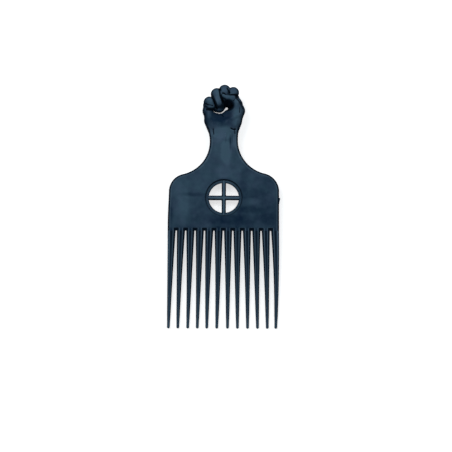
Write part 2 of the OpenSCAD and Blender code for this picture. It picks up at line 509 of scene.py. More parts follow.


# Painted highlights, reflections and shade on the plate, the neck, the palm and the fingers, from the
# tines up.
PAINTED_LIGHT_PATCHES = (
    PaintedLightPatch((-27.0, 0.0), (6.0, 16.0), 0.26),
    PaintedLightPatch((-36.5, -6.0), (3.0, 14.0), -0.32),
    PaintedLightPatch((34.0, -5.0), (9.0, 12.0), -0.24),
    PaintedLightPatch((0.0, -17.2), (70.0, 3.2), -0.28),
    PaintedLightPatch((8.0, -10.3), (27.0, 5.5), -0.28),
    PaintedLightPatch((17.0, -3.0), (12.0, 3.0), -0.20),
    PaintedLightPatch((-20.0, 7.3), (10.0, 1.7), -0.26),
    PaintedLightPatch((-20.0, 13.2), (8.0, 5.0), 0.08),
    PaintedLightPatch((0.0, 22.2), (6.0, 8.0), 0.26),
    PaintedLightPatch((1.0, 17.6), (6.0, 1.6), -0.26),
    PaintedLightPatch((13.5, 15.2), (3.0, 14.0), -0.16),
    PaintedLightPatch((22.0, 13.7), (5.0, 3.0), 0.14),
    PaintedLightPatch((20.0, 2.9), (7.5, 2.6), 0.22),
    PaintedLightPatch((1.5, 35.2), (4.0, 9.0), 0.62),
    PaintedLightPatch((0.0, 37.0), (9.0, 12.0), 0.14),
    PaintedLightPatch((4.4, 42.2), (0.6, 7.0), -0.45),
    PaintedLightPatch((1.1, 44.2), (0.7, 3.0), -0.32),
    PaintedLightPatch((7.5, 43.2), (2.5, 6.0), 0.52),
    PaintedLightPatch((-4.5, 44.7), (4.0, 3.0), 0.20),
    PaintedLightPatch((-1.0, 49.0), (10.0, 4.2), 0.76),
    PaintedLightPatch((-4.0, 58.9), (9.5, 6.4), -0.52),
    PaintedLightPatch((-1.0, 62.6), (10.0, 3.6), -0.38),
    PaintedLightPatch((-12.4, 62.0), (2.4, 10.0), -0.36),
    PaintedLightPatch((8.5, 59.4), (3.0, 9.0), 0.36),
    PaintedLightPatch((11.0, 59.5), (2.6, 6.0), 0.25),
    PaintedLightPatch((-1.0, 75.5), (13.0, 8.0), 0.22),
    PaintedLightPatch((-9.3, 71.0), (2.2, 2.6), 0.34),
    PaintedLightPatch((-4.4, 72.6), (1.6, 5.5), 0.34),
    PaintedLightPatch((0.3, 77.0), (2.6, 2.4), 0.26),
    PaintedLightPatch((6.5, 75.4), (2.8, 2.0), 0.30),
    PaintedLightPatch((8.3, 69.6), (1.6, 4.0), 0.40),
)


@dataclass(frozen=True)
class MouldedPlastic:
    """Satin blue-black moulding plastic with flow marks, worn edges with painted highlight
    lines, painted shade in corners and on steep sides, and patches of painted light and shade.

    Each noise is its scale in waves to a millimetre, its detail and, for the cloudy tone, its
    warp. The streaks' scale comes on top of their own stretch of each axis.
    """

    name: str
    streak: Streak
    painted_light_patches: tuple[PaintedLightPatch, ...] = PAINTED_LIGHT_PATCHES
    tone: float = 0.42
    # Painted light: the tone rises towards the left and towards the top.
    fade: Spot = (-0.0030, 0.0020)
    dark: Colour = (0.0040, 0.0160, 0.0360)
    light: Colour = (0.0520, 0.0950, 0.1380)
    # Colour of worn edges and of the painted highlight lines along them.
    worn_and_highlit: Colour = (0.0800, 0.1300, 0.1750)
    teal: Colour = (0.95, 1.02, 1.00)
    violet: Colour = (1.03, 0.98, 1.02)
    # Colour of the painted shade in corners, folds, recesses and on steep sides.
    shade_colour: Colour = (0.0014, 0.0055, 0.0130)
    roughness: float = 0.38
    ior: float = 1.10
    swell: float = 0.08
    grain: float = 0.005
    cloud_noise: Place = (0.045, 3.0, 0.4)
    streak_noise: Span = (1.0, 3.0)
    streak_shift: Place = (3.0, 1.0, 2.0)
    speckle_noise: Span = (3.2, 4.0)
    hue_noise: Span = (0.16, 2.0)
    ragged_noise: Span = (0.13, 3.0)
    bend_noise: Span = (0.07, 2.0)
    swell_noise: Span = (0.075, 1.0)
    grain_noise: Span = (4.5, 3.0)
    cloud_tone: float = 0.7
    streak_tone: float = 0.45
    flow_tone: float = 0.14
    ragged: float = 0.7
    patch_edge: Span = (0.3, 1.2)
    hue_span: Span = (0.35, 0.65)
    wear_and_highlight_span: Span = (0.44, 0.88)
    wear_and_highlight_streaks: float = 0.6
    wear_and_highlight_share: float = 0.9
    shade_share: float = 0.95
    cloud_rough: float = 0.16
    streak_rough: float = 0.06
    wear_and_highlight_rough: float = 0.06
    shade_rough: float = 0.50
    flow_rough: float = 0.05
    gate: Place = (37.3, 3.0, 7.0)
    flow_span: Span = (4.0, 70.0)
    flow_fade: Span = (1.0, 0.15)
    flow_turn: float = 0.42
    flow_bend: float = 9.0

    def material(self) -> bpy.types.Material:
        """Builds the material.

        Returns:
            The material, with its nodes.
        """
        material = bpy.data.materials.new(self.name)
        tree = Tree(material)
        where = tree.place()
        cloud = tree.noise(where, *self.cloud_noise)
        streak = tree.noise(tree.place(self.streak.value, self.streak_shift), *self.streak_noise)
        speckle = tree.noise(where, *self.speckle_noise)
        flow = self._flow(tree, where)
        # Worn edges with painted highlight lines, broken into patches.
        patchy = tree.span(speckle + streak * self.wear_and_highlight_streaks, *self.wear_and_highlight_span)
        wear_and_highlight = tree.attribute("wear_and_highlight") * patchy
        # Painted shade that the mesh carries, which darkens and roughens where it lies.
        painted_shade = tree.attribute("painted_shade")
        tone = (cloud - 0.5) * self.cloud_tone + (streak - 0.5) * self.streak_tone
        tone = tone + (flow - 0.5) * self.flow_tone + self._tone_and_painted_light(tree, where)
        colour = tree.mix(tone, opaque(self.dark), opaque(self.light))
        hue = tree.span(tree.noise(where, *self.hue_noise), *self.hue_span)
        tint = tree.mix(hue, opaque(self.teal), opaque(self.violet))
        sockets = {"Vector": colour, "Vector_001": tint}
        colour = tree.value("VectorMath", "Vector", {"operation": "MULTIPLY"}, sockets)
        # Lighten towards the worn and highlit colour.
        colour = tree.mix(wear_and_highlight * self.wear_and_highlight_share, colour, opaque(self.worn_and_highlit))
        # Darken towards the painted shade colour.
        colour = tree.mix(painted_shade * self.shade_share, colour, opaque(self.shade_colour))
        rough = self.roughness + (cloud - 0.5) * self.cloud_rough
        rough = rough + (streak - 0.5) * self.streak_rough + wear_and_highlight * self.wear_and_highlight_rough
        rough = rough + painted_shade * self.shade_rough + (flow - 0.5) * self.flow_rough
        sockets = {"Base Color": colour, "Roughness": rough, "IOR": self.ior}
        sockets["Normal"] = self._bumps(tree, where, streak)
        shader = tree.node("BsdfPrincipled", None, sockets)
        tree.node("OutputMaterial", None, {"Surface": Sock(tree, shader.outputs["BSDF"])})
        return material

    def _tone_and_painted_light(self, tree: Tree, where: Sock) -> Sock:
        """Works out the base tone and the painted light on it: a fade across the piece and soft patches
        of painted light and shade.

        Args:
            tree: The material's nodes.
            where: Coordinates in millimetres.

        Returns:
            Its share of the way from the dark to the light colour.
        """
        split = tree.node("SeparateXYZ", None, {"Vector": where})
        x, y = Sock(tree, split.outputs["X"]), Sock(tree, split.outputs["Y"])
        total = x * self.fade[0] + y * self.fade[1] + self.tone
        ragged = (tree.noise(where, *self.ragged_noise) - 0.5) * self.ragged
        # Each patch adds painted light or, below zero, painted shade.
        for cloud in self.painted_light_patches:
            across = (x - cloud.centre[0]) * (1.0 / cloud.half[0])
            up = (y - cloud.centre[1]) * (1.0 / cloud.half[1])
            away = tree.number("SQRT", across * across + up * up, 0.0) + ragged
            total = total + tree.span(away, *self.patch_edge, cloud.share, 0.0)
        return total

    def _flow(self, tree: Tree, where: Sock) -> Sock:
        """Draws the arcs that the melt left as it ran in from the gate.

        Args:
            tree: The material's nodes.
            where: Coordinates in millimetres.

        Returns:
            Waves about 0.5, which fade with the way from the gate.
        """
        bent = tree.noise(where, *self.bend_noise)
        sockets = {"Vector": where, "Vector_001": self.gate}
        away = tree.value("VectorMath", "Value", {"operation": "DISTANCE"}, sockets)
        wave = tree.number("SINE", away * self.flow_turn + bent * self.flow_bend, 0.0)
        fade = tree.span(away, *self.flow_span, *self.flow_fade)
        return wave * fade * 0.5 + 0.5

    def _bumps(self, tree: Tree, where: Sock, streak: Sock) -> Sock:
        """Bends the normals by the slow swell of the skin, its streaks and its fine grain.

        Args:
            tree: The material's nodes.
            where: Coordinates in millimetres.
            streak: The fine streaks, from 0 to 1.

        Returns:
            The normals.
        """
        swell = tree.noise(where, *self.swell_noise)
        fine = tree.noise(where, *self.grain_noise)
        first = {"Strength": 1.0, "Distance": self.swell * MM, "Height": swell}
        normal = tree.value("Bump", "Normal", None, first)
        second = {"Strength": 1.0, "Distance": self.grain * MM}
        second |= {"Height": fine + streak, "Normal": normal}
        return tree.value("Bump", "Normal", None, second)


# The comb plate and its tines.


@dataclass(frozen=True)
class EdgeForm:
    """How the comb's edges run through its thickness, level by level from back to front."""

    half_levels: tuple[float, ...] = (0.4, 0.8, 1.2, 1.5, 1.75, 1.9, 1.975, 2.0)
    rim_side: float = 0.7
    rim_r: float = 1.3
    ridge_r: float = 0.2
    edge_rounding: tuple[Spot, ...] = ((1.9, 0.02), (1.975, 0.08), (2.0, 0.2))

    @property
    def levels(self) -> Array:
        """Heights of all the levels about the mid plane."""
        half = np.array(self.half_levels)
        return np.concatenate([-half[::-1], [0.0], half])

    @property
    def rim_insets(self) -> Array:
        """How far in from the outline each level of the round rim lies."""
        over = np.maximum(np.abs(self.levels) - self.rim_side, 0.0)
        return self.rim_r - np.sqrt(np.maximum(self.rim_r**2 - over**2, 0.0))

    def slope_insets(self, slope: float) -> Array:
        """Works out how far in from its ridge at the mid plane a sloping wall lies.

        Args:
            slope: How far it runs in for each unit of height.

        Returns:
            Its inset at each level.
        """
        heights = np.abs(self.levels)
        insets = slope * np.sqrt(heights**2 + self.ridge_r**2)
        for height, extra in self.edge_rounding:
            insets = insets + np.where(np.isclose(heights, height), extra, 0.0)
        return insets


@dataclass
class Comb:
    """The flat plate with its slot roots, and the twelve tines below it."""

    layout: Layout
    edges: EdgeForm = field(default_factory=EdgeForm)
    tine_count: int = 12
    shoulder_r: float = 12.5
    side_l: float = 22.6
    hollow_r: float = 23.2
    neck_w: float = 19.1
    root_w: float = 5.2
    foot_w: float = 5.8
    flat_w: float = 2.65
    narrow_w: float = 2.25
    outer_w: float = 2.1
    taper: float = 1.35
    tip_d: float = 1.9
    tip_flat_w: float = 0.9
    slot_l: float = 2.1
    slot_mid_l: float = 0.12
    slot_corner_r: float = 0.7
    slot_corner_shares: Span = (0.98, 0.9)
    edge_line_w: float = 0.8
    slot_lip: float = 0.15
    slot_lip_from: float = 0.99
    face_slot_l: float = 2.6
    face_lift: float = 0.02
    side_steps: tuple[int, int, int] = (11, 21, 14)
    # Wear with painted highlight lines along the face's edges and the slots' sides; painted shade on
    # the rim's outer wall and in the slots' roots.
    slot_sides: tuple[float, ...] = (1.0,) * 5 + (0.2,) * 11 + (1.0,) * 5
    highlight_levels: Span = (1.9, 2.0)
    rim_highlight: float = 0.6
    rim_shade: Span = (1.0, 1.2)
    slot_shade: float = 0.8
    slot_shade_until: float = 0.94
    leans: tuple[float, ...] = (
        *(-0.245, -0.25, -0.21, -0.2, -0.2, -0.15),
        *(-0.02, 0.03, 0.09, 0.14, 0.17, 0.07),
    )
    bows: tuple[float, ...] = (
        *(0.0, -0.06, 0.05, 0.02, -0.08, 0.07),
        *(0.03, -0.05, 0.06, -0.03, 0.08, 0.28),
    )
    bow_share: float = 0.3
    tine_steps: int = 34
    tip_steps: int = 5
    tip_from: float = 0.86
    straight_until: float = 0.75
    flat_spots: Place = (0.55, 0.0, -0.55)
    # Painted shade down the middle of the tines' faces, and wear with painted highlight lines along
    # their edges and at their tips, both fading towards the tips.
    flat_shade: Place = (0.8, 0.95, 0.8)
    tine_highlight_levels: Span = (1.75, 1.95)
    tine_highlight_fade: float = 0.3
    tine_shade_fade: float = 0.5
    pole_wear_and_highlight: float = 0.8
    recess_lip: tuple[Spot, ...] = ((0.0, 0.6), (0.0, 0.16), (-0.03, 0.07), (-0.1, 0.01), (-0.4, 0.0))
    recess_low_z: float = 0.9
    recess_shade: Span = (0.66, 0.26)
    recess_steps: int = 120
    finish: MouldedPlastic = MouldedPlastic("plate_plastic", Streak.CLOUDY)
    # Painted shade: the tines' plastic is a darker copy of the plate's, darker towards the roots and
    # lighter towards the tips and the left.
    tine_finish: MouldedPlastic = MouldedPlastic(
        "tine_plastic",
        Streak.ALONG_TINES,
        painted_light_patches=(),
        tone=0.24,
        fade=(-0.002, -0.0050),
        swell=0.06,
        grain=0.008,
    )

    @property
    def pitch(self) -> float:
        """Distance between the middles of two tines."""
        return (self.layout.plate_w - self.root_w) / (self.tine_count - 1)

    @property
    def shoulder(self) -> Spot:
        """Centre of the right shoulder."""
        return self.layout.plate_w / 2 - self.shoulder_r, self.layout.plate_y + self.side_l

    @property
    def hollow(self) -> Spot:
        """Finds the centre of the right hollow curve.

        Returns:
            Its place across and up.
        """
        x, y = self.shoulder
        centre = self.neck_w / 2 + self.hollow_r
        return centre, y + math.sqrt((self.shoulder_r + self.hollow_r) ** 2 - (centre - x) ** 2)

    def tine_x(self, number: int) -> float:
        """Middle of a tine's root."""
        return (number - (self.tine_count + 1) / 2) * self.pitch

    def _side(self, inset: float, share: float) -> Array:
        """One side of the outline, drawn on the right, from the tine root to the web.

        Args:
            inset: How far in from the outline it lies.
            share: How much of the left side's own inset is added.

        Returns:
            Its places, one to a line.
        """
        lay, (sx, sy), (hx, hy) = self.layout, self.shoulder, self.hollow
        turn = math.atan2(hy - sy, hx - sx)
        up, around, down = self.side_steps
        ys = np.linspace(lay.root_y, sy, up + 1)[:-1]
        straight = np.column_stack([lay.plate_w / 2 - inset - share * lay.left_in(ys), ys])
        a = np.linspace(0.0, turn, around + 1)[:-1]
        r = self.shoulder_r - inset - share * lay.left_in(sy + self.shoulder_r * np.sin(a))
        round_part = np.column_stack([sx + r * np.cos(a), sy + r * np.sin(a)])
        end = math.asin((hy - lay.web_y) / (self.hollow_r + inset + share * lay.left_in(lay.web_y)))
        a = np.linspace(turn, end, down) + math.pi
        ys = np.minimum(hy + self.hollow_r * np.sin(a), lay.web_y)
        r = self.hollow_r + inset + share * lay.left_in(ys)
        hollow_part = np.column_stack([hx + r * np.cos(a), hy + r * np.sin(a)])
        hollow_part[-1, 1] = lay.web_y
        return np.concatenate([straight, round_part, hollow_part])

    def _slot_row(self, middle: float, half: float, top: float, foot: float) -> Array:
        """Draws one slot's outline, from its left foot over its rounded root to its right foot.

        Args:
            middle: Place of its middle.
            half: Half its width.
            top: Place of its root.
            foot: Place of its feet.

        Returns:
            Its 21 points, one to a line.
        """
        across, along = self.slot_corner_shares
        r = min(self.slot_corner_r, half * across, (top - foot) * along)
        ys = np.linspace(foot, top - r, 5)[:-1]
        left = [(middle - half, y) for y in ys]
        turn = np.linspace(math.pi, math.pi / 2, 6)
        corner = [(middle - half + r + r * math.cos(a), top - r + r * math.sin(a)) for a in turn]
        over = [(middle, top)]
        right = [(2 * middle - x, y) for x, y in reversed(left + corner)]
        return np.array(left + corner + over + right)

    def _plate_row(
        self, level: float, rim: float, slope: float, depth: float, lift: float = 0.0
    ) -> tuple[Array, Array, Array]:
        """Outline of the plate at one level.

        Args:
            level: Height about the mid plane.
            rim: Inset of the outer rim.
            slope: Inset of the slots' walls.
            depth: Reach of the slots' roots above the tines.
            lift: How far above the tines the outline starts.

        Returns:
            The points, which steps between them are joint faces, and for points on a slot how
            near its sides they lie.
        """
        foot = self.layout.root_y + lift
        right, left = self._side(rim, 0.0), self._side(rim, 1.0)[::-1] * (-1.0, 1.0)
        right[0, 1] = left[-1, 1] = foot
        rows, seam = [right, left], ([0] * (len(right) - 1) + [1]) * 2
        slotted = [0.0] * (len(right) + len(left))
        gap = (self.pitch - self.foot_w) / 2
        for number in range(1, self.tine_count):
            middle = self.tine_x(number) + self.pitch / 2
            row = self._slot_row(middle, gap + slope, self.layout.root_y + depth, foot)
            rows.append(row)
            seam += [0] * (len(row) - 1) + [1]
            slotted += self.slot_sides
        flat = np.concatenate(rows)
        points = np.column_stack([flat, np.full(len(flat), level)])
        return points, np.array(seam), np.array(slotted)

    def build_plate(self) -> bpy.types.Object:
        """Builds the plate from the slot roots to the web, with the recess for the window.

        Returns:
            The plate.
        """
        shell, lay = Shell(), self.layout
        levels, rims = self.edges.levels, self.edges.rim_insets
        slopes = self.edges.slope_insets((self.foot_w - self.flat_w) / lay.plate_t)
        rows = []
        for level, rim, slope in zip(levels, rims, slopes):
            share = abs(level) / (lay.plate_t / 2)
            depth = self.slot_mid_l + (self.slot_l - self.slot_mid_l) * share
            depth = depth + self.slot_lip * (share > self.slot_lip_from)
            points, seam, slotted = self._plate_row(level, rim, slope, depth)
            # Painted highlight along the face's edges and slot sides; painted shade on the rim's outer
            # wall and in the slots' roots.
            worn_and_highlit = np.where(slotted > 0, slotted, self.rim_highlight) * ease(abs(level), *self.highlight_levels)
            inside = self.slot_shade * (share < self.slot_shade_until)
            shade = np.where(slotted > 0, inside, 1.0 - ease(rim, *self.rim_shade))
            rows.append(shell.add(points, worn_and_highlit, shade))
        for low, high in zip(rows, rows[1:]):
            shell.bridge(low, high, seam)
        rim, slope = rims[-1] + self.edge_line_w, slopes[-1] + self.edge_line_w / 2
        back, front = (
            shell.add(self._plate_row(level, rim, slope, self.face_slot_l, self.face_lift)[0])
            for level in (levels[0], levels[-1])
        )
        shell.bridge(back, rows[0])
        shell.bridge(rows[-1], front)
        recess = self._recess_rows(shell)
        for low, high in zip(recess, recess[1:]):
            shell.bridge(low[::-1], high[::-1])
        shell.fill([back, recess[0]], up=False)
        shell.fill([front, recess[-1]], up=True)
        piece = shell.make("comb_plate", lay, self.finish.material())
        return settle(piece, "blade", "tine_bar")

    def _recess_rows(self, shell: Shell) -> list[Array]:
        """Adds the wall of the recess, with its lightly rounded edges.

        Args:
            shell: The plate's shell.

        Returns:
            The numbers of each row's points, from back to front.
        """
        lay = self.layout
        form = [(lay.plate_t / 2 + rise, out) for rise, out in self.recess_lip]
        form.append((self.recess_low_z, 0.0))
        profile = [(-z, r) for z, r in form] + [(z, r) for z, r in reversed(form)]
        angles = np.linspace(0.0, 2 * math.pi, self.recess_steps, endpoint=False)
        even, uneven = self.recess_shade
        rows = []
        for z, out in profile:
            r = lay.recess_r + out
            across, up = lay.window_x + r * np.cos(angles), lay.window_y + r * np.sin(angles)
            # Painted shade on the recess wall, darkest at its top.
            shade = (out < self.recess_lip[0][1]) * (even + uneven * np.sin(angles))
            rows.append(shell.add(np.column_stack([across, up, np.full(len(angles), z)]), 0.0, shade))
        return rows

    def _tine_row(self, number: int, share: float, end: float) -> tuple[Array, Array, Array]:
        """One section of a tine.

        Args:
            number: The tine's number from the left.
            share: Share of the way from root to tip.
            end: Share by which the round tip has drawn the section in.

        Returns:
            The section's points, with their wear and painted highlight, and their painted shade.
        """
        lay, form = self.layout, self.edges
        half_w = (self.narrow_w + (self.foot_w - self.narrow_w) * (1.0 - share) ** self.taper) / 2
        half_o = (self.root_w + (self.outer_w - self.root_w) * share) / 2
        half_f = (self.flat_w + (self.tip_flat_w - self.flat_w) * share) / 2
        half_t = (lay.plate_t + (self.tip_d - lay.plate_t) * share) / 2
        scale = half_t / (lay.plate_t / 2)
        wall = (self.foot_w - self.flat_w) / 2
        sloped = form.slope_insets(wall / (lay.plate_t / 2)) / wall * (half_w - half_f)
        straight = form.rim_insets * scale
        blend = float(ease(np.array(share), 0.0, self.straight_until))
        outer = sloped * blend + straight * (1.0 - blend)
        z = form.levels * scale
        right = half_o - outer if number == self.tine_count else half_w - sloped
        left = half_o - outer if number == 1 else half_w - sloped
        inner = np.array(self.flat_spots) * half_f
        xs = np.concatenate([right, inner, -left[::-1], -inner])
        zs = np.concatenate([z, np.full(3, half_t), z[::-1], np.full(3, -half_t)])
        length = np.hypot(xs, zs)
        smooth = float(ease(np.array(share), self.tip_from, 1.0))
        reach = self.tip_d / 2 / length
        xs, zs = xs * (1 + (reach - 1) * smooth), zs * (1 + (reach - 1) * smooth)
        # Wear with painted highlight lines along the edges; painted shade down the middle of the faces,
        # fading towards the tips.
        edge = ease(np.abs(form.levels), *self.tine_highlight_levels) * (1.0 - self.tine_highlight_fade * share)
        worn_and_highlit = np.concatenate([edge, np.zeros(3), edge[::-1], np.zeros(3)])
        side, middle = np.zeros(len(edge)), np.array(self.flat_shade)
        shade = np.concatenate([side, middle, side, middle]) * (1.0 - share) ** self.tine_shade_fade
        return np.column_stack([xs * end, zs * end]), worn_and_highlit, shade

    def build_tine(self, number: int, dress: bpy.types.Material) -> bpy.types.Object:
        """Builds one tine, from its joint face with the plate to its round tip.

        Args:
            number: The tine's number from the left.
            dress: Its material.

        Returns:
            The tine.
        """
        shell, lay = Shell(), self.layout
        radius = self.tip_d / 2
        reach = lay.root_y - lay.tip_y - radius
        stations = [(lay.root_y - reach * s, 1.0) for s in np.linspace(0.0, 1.0, self.tine_steps)]
        turns = np.linspace(0.0, math.pi / 2, self.tip_steps + 2)[1:-1]
        stations += [(lay.tip_y + radius - radius * math.sin(a), math.cos(a)) for a in turns]
        rows = []
        for y, end in stations:
            share = min((lay.root_y - y) / reach, 1.0)
            section, worn_and_highlit, shade = self._tine_row(number, share, end)
            bow = self.bows[number - 1] * 4 * share * (1 - share)
            bent = self.leans[number - 1] * share + bow * self.bow_share
            middle = self.tine_x(number) + bent * self.pitch
            points = np.column_stack([section[:, 0] + middle, np.full(len(section), y), section[:, 1]])
            rows.append(shell.add(points, worn_and_highlit, shade))
        for low, high in zip(rows, rows[1:]):
            shell.bridge(low, high)
        shell.cap(rows[0][::-1], seam=True)
        x = self.tine_x(number) + self.leans[number - 1] * self.pitch
        pole = int(shell.add(np.array([[x, lay.tip_y, 0.0]]), self.pole_wear_and_highlight)[0])
        last = rows[-1]
        for a, b in zip(last, np.roll(last, -1)):
            shell.faces.append((int(a), int(b), pole))
        piece = shell.make(f"tine_form_{number:02d}", lay, dress)
        return settle(piece, f"tine_{number:02d}")

    def build(self) -> None:
        """Builds the plate and its tines."""
        self.build_plate()
        dress = self.tine_finish.material()
        for number in range(1, self.tine_count + 1):
            self.build_tine(number, dress)


# The window and the gate tail.


@dataclass(frozen=True)
class BarLevel:
    """One level of the bars: its share of their half thickness and how far it is drawn in."""

    share: float
    inset: float
    trim: float
    # Wear with painted highlight on the bars' top edges, and painted shade down their sides.
    worn_and_highlit: float = 0.0
    shade: float = 0.9


@dataclass
class Window:
    """The sunk ring round the opening, and the plus-shaped bars across it."""

    layout: Layout
    upright_w: float = 2.9
    level_w: float = 3.1
    bar_levels: tuple[BarLevel, ...] = (
        BarLevel(0.0, 0.0, 0.0),
        BarLevel(0.25, 0.0, 0.0),
        BarLevel(0.6, 0.35 / 0.75, 0.1),
        BarLevel(0.9, 0.65 / 0.75, 0.3, shade=0.4),
        BarLevel(0.98, 1.02, 0.4, worn_and_highlit=0.6, shade=0.0),
        BarLevel(1.0, 1.12, 0.55, worn_and_highlit=0.6, shade=0.0),
    )
    inner_round: float = 0.3
    foot_r: float = 0.5
    corner_r: float = 0.45
    upright_reach: float = 12.1
    level_reach: float = 10.9
    segments: int = 120
    # Painted shade in the ring's fillet at the recess wall and on its inner lip.
    foot_shade: float = 0.8
    lip_shade: float = 0.6
    lip_w: float = 0.35
    arm_extra: float = 2.0
    # Painted light: the window's plastic is a lighter copy of the plate's.
    finish: MouldedPlastic = MouldedPlastic(
        "window_plastic", Streak.CLOUDY, tone=0.62, swell=0.04, grain=0.008
    )

    def build_ring(self, dress: bpy.types.Material) -> bpy.types.Object:
        """Turns the ring: a fillet at the recess wall, a flat, and a rounded inner edge.

        Args:
            dress: Its material.

        Returns:
            The ring.
        """
        shell, lay = Shell(), self.layout
        half, outer, inner, foot = lay.ring_t / 2, lay.recess_r, lay.opening_r, self.foot_r
        turns = np.linspace(0.0, math.pi / 2, 5)
        bend = self.inner_round
        arcs = [(math.sin(a), math.cos(a)) for a in turns]
        fillet = [(outer - foot + foot * s, half + foot - foot * c) for s, c in reversed(arcs)]
        lip = [(inner + bend - bend * s, half - bend + bend * c) for s, c in arcs]
        top = fillet + [((outer + inner) / 2, half)] + lip
        profile = top + [(r, -z) for r, z in reversed(top)]
        angles = np.linspace(0.0, 2 * math.pi, self.segments, endpoint=False)
        rows = []
        for r, z in profile:
            across, up = lay.window_x + r * np.cos(angles), lay.window_y + r * np.sin(angles)
            # Painted shade in the fillet at the recess wall and on the inner lip.
            shade = self.foot_shade * (r > outer - foot) + self.lip_shade * (r < inner + self.lip_w)
            rows.append(shell.add(np.column_stack([across, up, np.full(len(angles), z)]), 0.0, shade))
        for low, high in zip(rows, rows[1:] + rows[:1]):
            shell.bridge(low, high)
        return settle(shell.make("window_rim", lay, dress), "window_ring")

    def _plus_row(self, half: float, trim: float, level: float) -> Array:
        """Outline of the bars at one level, counter-clockwise.

        Args:
            half: Half width of the upright bar.
            trim: How much shorter the bars are at this level.
            level: Height about the mid plane.

        Returns:
            The points, one to a line.
        """
        angles = -math.pi / 2 - np.linspace(0.0, 1.0, 5) * math.pi / 2
        r = self.corner_r
        halves = (half + (self.level_w - self.upright_w) / 2, half)
        reaches = (self.level_reach - trim, self.upright_reach - trim)
        points: list[Spot] = []
        for quarter in range(4):
            reach, own, other = reaches[quarter % 2], halves[quarter % 2], halves[1 - quarter % 2]
            arm = [(reach, -own), (reach, 0.0), (reach, own), (other + r + self.arm_extra, own)]
            inner = [(other + r + r * math.cos(a), own + r + r * math.sin(a)) for a in angles]
            after = [(other, own + r + self.arm_extra)]
            c, s = round(math.cos(quarter * math.pi / 2)), round(math.sin(quarter * math.pi / 2))
            points += [(x * c - y * s, x * s + y * c) for x, y in arm + inner + after]
        flat = np.array(points) + (self.layout.window_x, self.layout.window_y)
        return np.column_stack([flat, np.full(len(flat), level)])

    def build_bars(self, dress: bpy.types.Material) -> bpy.types.Object:
        """Builds the four bars as one plus, with sloping sides and rounded top edges.

        Args:
            dress: Its material.

        Returns:
            The bars.
        """
        shell, lay = Shell(), self.layout
        half, top = self.upright_w / 2, lay.cross_t / 2
        below = [(-top, form) for form in reversed(self.bar_levels[1:])]
        rows = []
        for side, form in below + [(top, form) for form in self.bar_levels]:
            points = self._plus_row(half - form.inset, form.trim, side * form.share)
            rows.append(shell.add(points, form.worn_and_highlit, form.shade))
        for low, high in zip(rows, rows[1:]):
            shell.bridge(low, high)
        shell.fill([rows[0]], up=False)
        shell.fill([rows[-1]], up=True)
        return settle(shell.make("window_bars", lay, dress), "window_cross")

    def build(self) -> None:
        """Builds the ring and the bars."""
        dress = self.finish.material()
        self.build_ring(dress)
        self.build_bars(dress)


@dataclass
class GateTail:
    """The small torn tail on the right side, where the moulding came off its runner."""

    layout: Layout
    foot: float = 0.15
    bulge: tuple[Spot, ...] = (
        *((0.0, 0.74), (0.06, 1.0), (0.2, 0.86)),
        *((0.45, 0.52), (0.75, 0.2), (1.0, 0.02)),
    )
    uneven: float = 0.06
    uneven_waves: Span = (3.0, 9.0)
    thickness_share: float = 0.95
    thin_share: float = 0.55
    wear_and_highlight: float = 0.6
    painted_shade: float = 0.2
    steps: int = 9
    finish: MouldedPlastic = MouldedPlastic("gate_plastic", Streak.CLOUDY, roughness=0.55, grain=0.05)

    def build(self) -> None:
        """Builds the tail from sections that shrink down the side."""
        shell, lay = Shell(), self.layout
        low, high = (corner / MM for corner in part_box("gate_stub"))
        half = (high.z - low.z) / 2 * self.thickness_share
        height = high.x - low.x
        angles = np.linspace(-math.pi / 2, math.pi / 2, self.steps)
        around, along = self.uneven_waves
        rows = []
        for share, rise in self.bulge:
            y = high.y - (high.y - low.y) * share
            wobble = 1.0 + self.uneven * np.sin(angles * around + share * along)
            xs = low.x + height * rise * np.cos(angles) * wobble / (1.0 + self.uneven)
            zs = half * (self.thin_share + (1.0 - self.thin_share) * rise) * np.sin(angles)
            xs, zs = np.append(xs, [low.x - self.foot] * 2), np.append(zs, [zs[-1], zs[0]])
            points = np.column_stack([xs, np.full(len(xs), y), zs])
            rows.append(shell.add(points, self.wear_and_highlight, self.painted_shade))
        for upper, lower in zip(rows, rows[1:]):
            shell.bridge(upper, lower)
        shell.cap(rows[0][::-1], seam=False)
        shell.cap(rows[-1], seam=True)
        settle(shell.make("gate_tail", lay, self.finish.material()), "gate_stub")


# The fist, the wrist and the neck.


@dataclass(frozen=True)
class Mark:
    """A fold, groove or tendon along a line on the palm's side of the hand.

    The line's places are across and up from the wrist crease. A positive depth cuts in and
    a negative one swells out.
    """

    line: tuple[Spot, ...]
    width: float
    depth: float
    rise: Span = (0.4, 2.0)

    def distance(self, x: Array, y: Array, crease_y: float) -> Array:
        """Works out the flat distance to the line.

        Args:
            x: Places across.
            y: Places up.
            crease_y: Place of the wrist crease.

        Returns:
            The distances.
        """
        found = None
        for (ax, ay), (bx, by) in zip(self.line, self.line[1:]):
            start, end = (ax, ay + crease_y, 0.0, 0.0), (bx, by + crease_y, 0.0, 0.0)
            gap = link_distance(x, y, 0.0, start, end)
            found = gap if found is None else np.minimum(found, gap)
        return found

    def change(self, x: Array, y: Array, z: Array, crease_y: float) -> Array:
        """What the mark adds to the distance field."""
        cut = self.depth * np.exp(-((self.distance(x, y, crease_y) / self.width) ** 2))
        return cut * ease(z, *self.rise)


@dataclass(frozen=True)
class Fillets:
    """Reaches of the fillets where the parts of the hand meet, in millimetres."""

    strand: float = 1.0
    palm: float = 2.4
    cave: float = 0.8
    finger: float = 0.7
    fold: float = 0.35
    fist: float = 0.7
    thumb: float = 0.8
    neck: float = 3.0
    slit: float = 1.0
    slit_line: float = 0.4
    back: float = 1.4
    front: float = 0.5


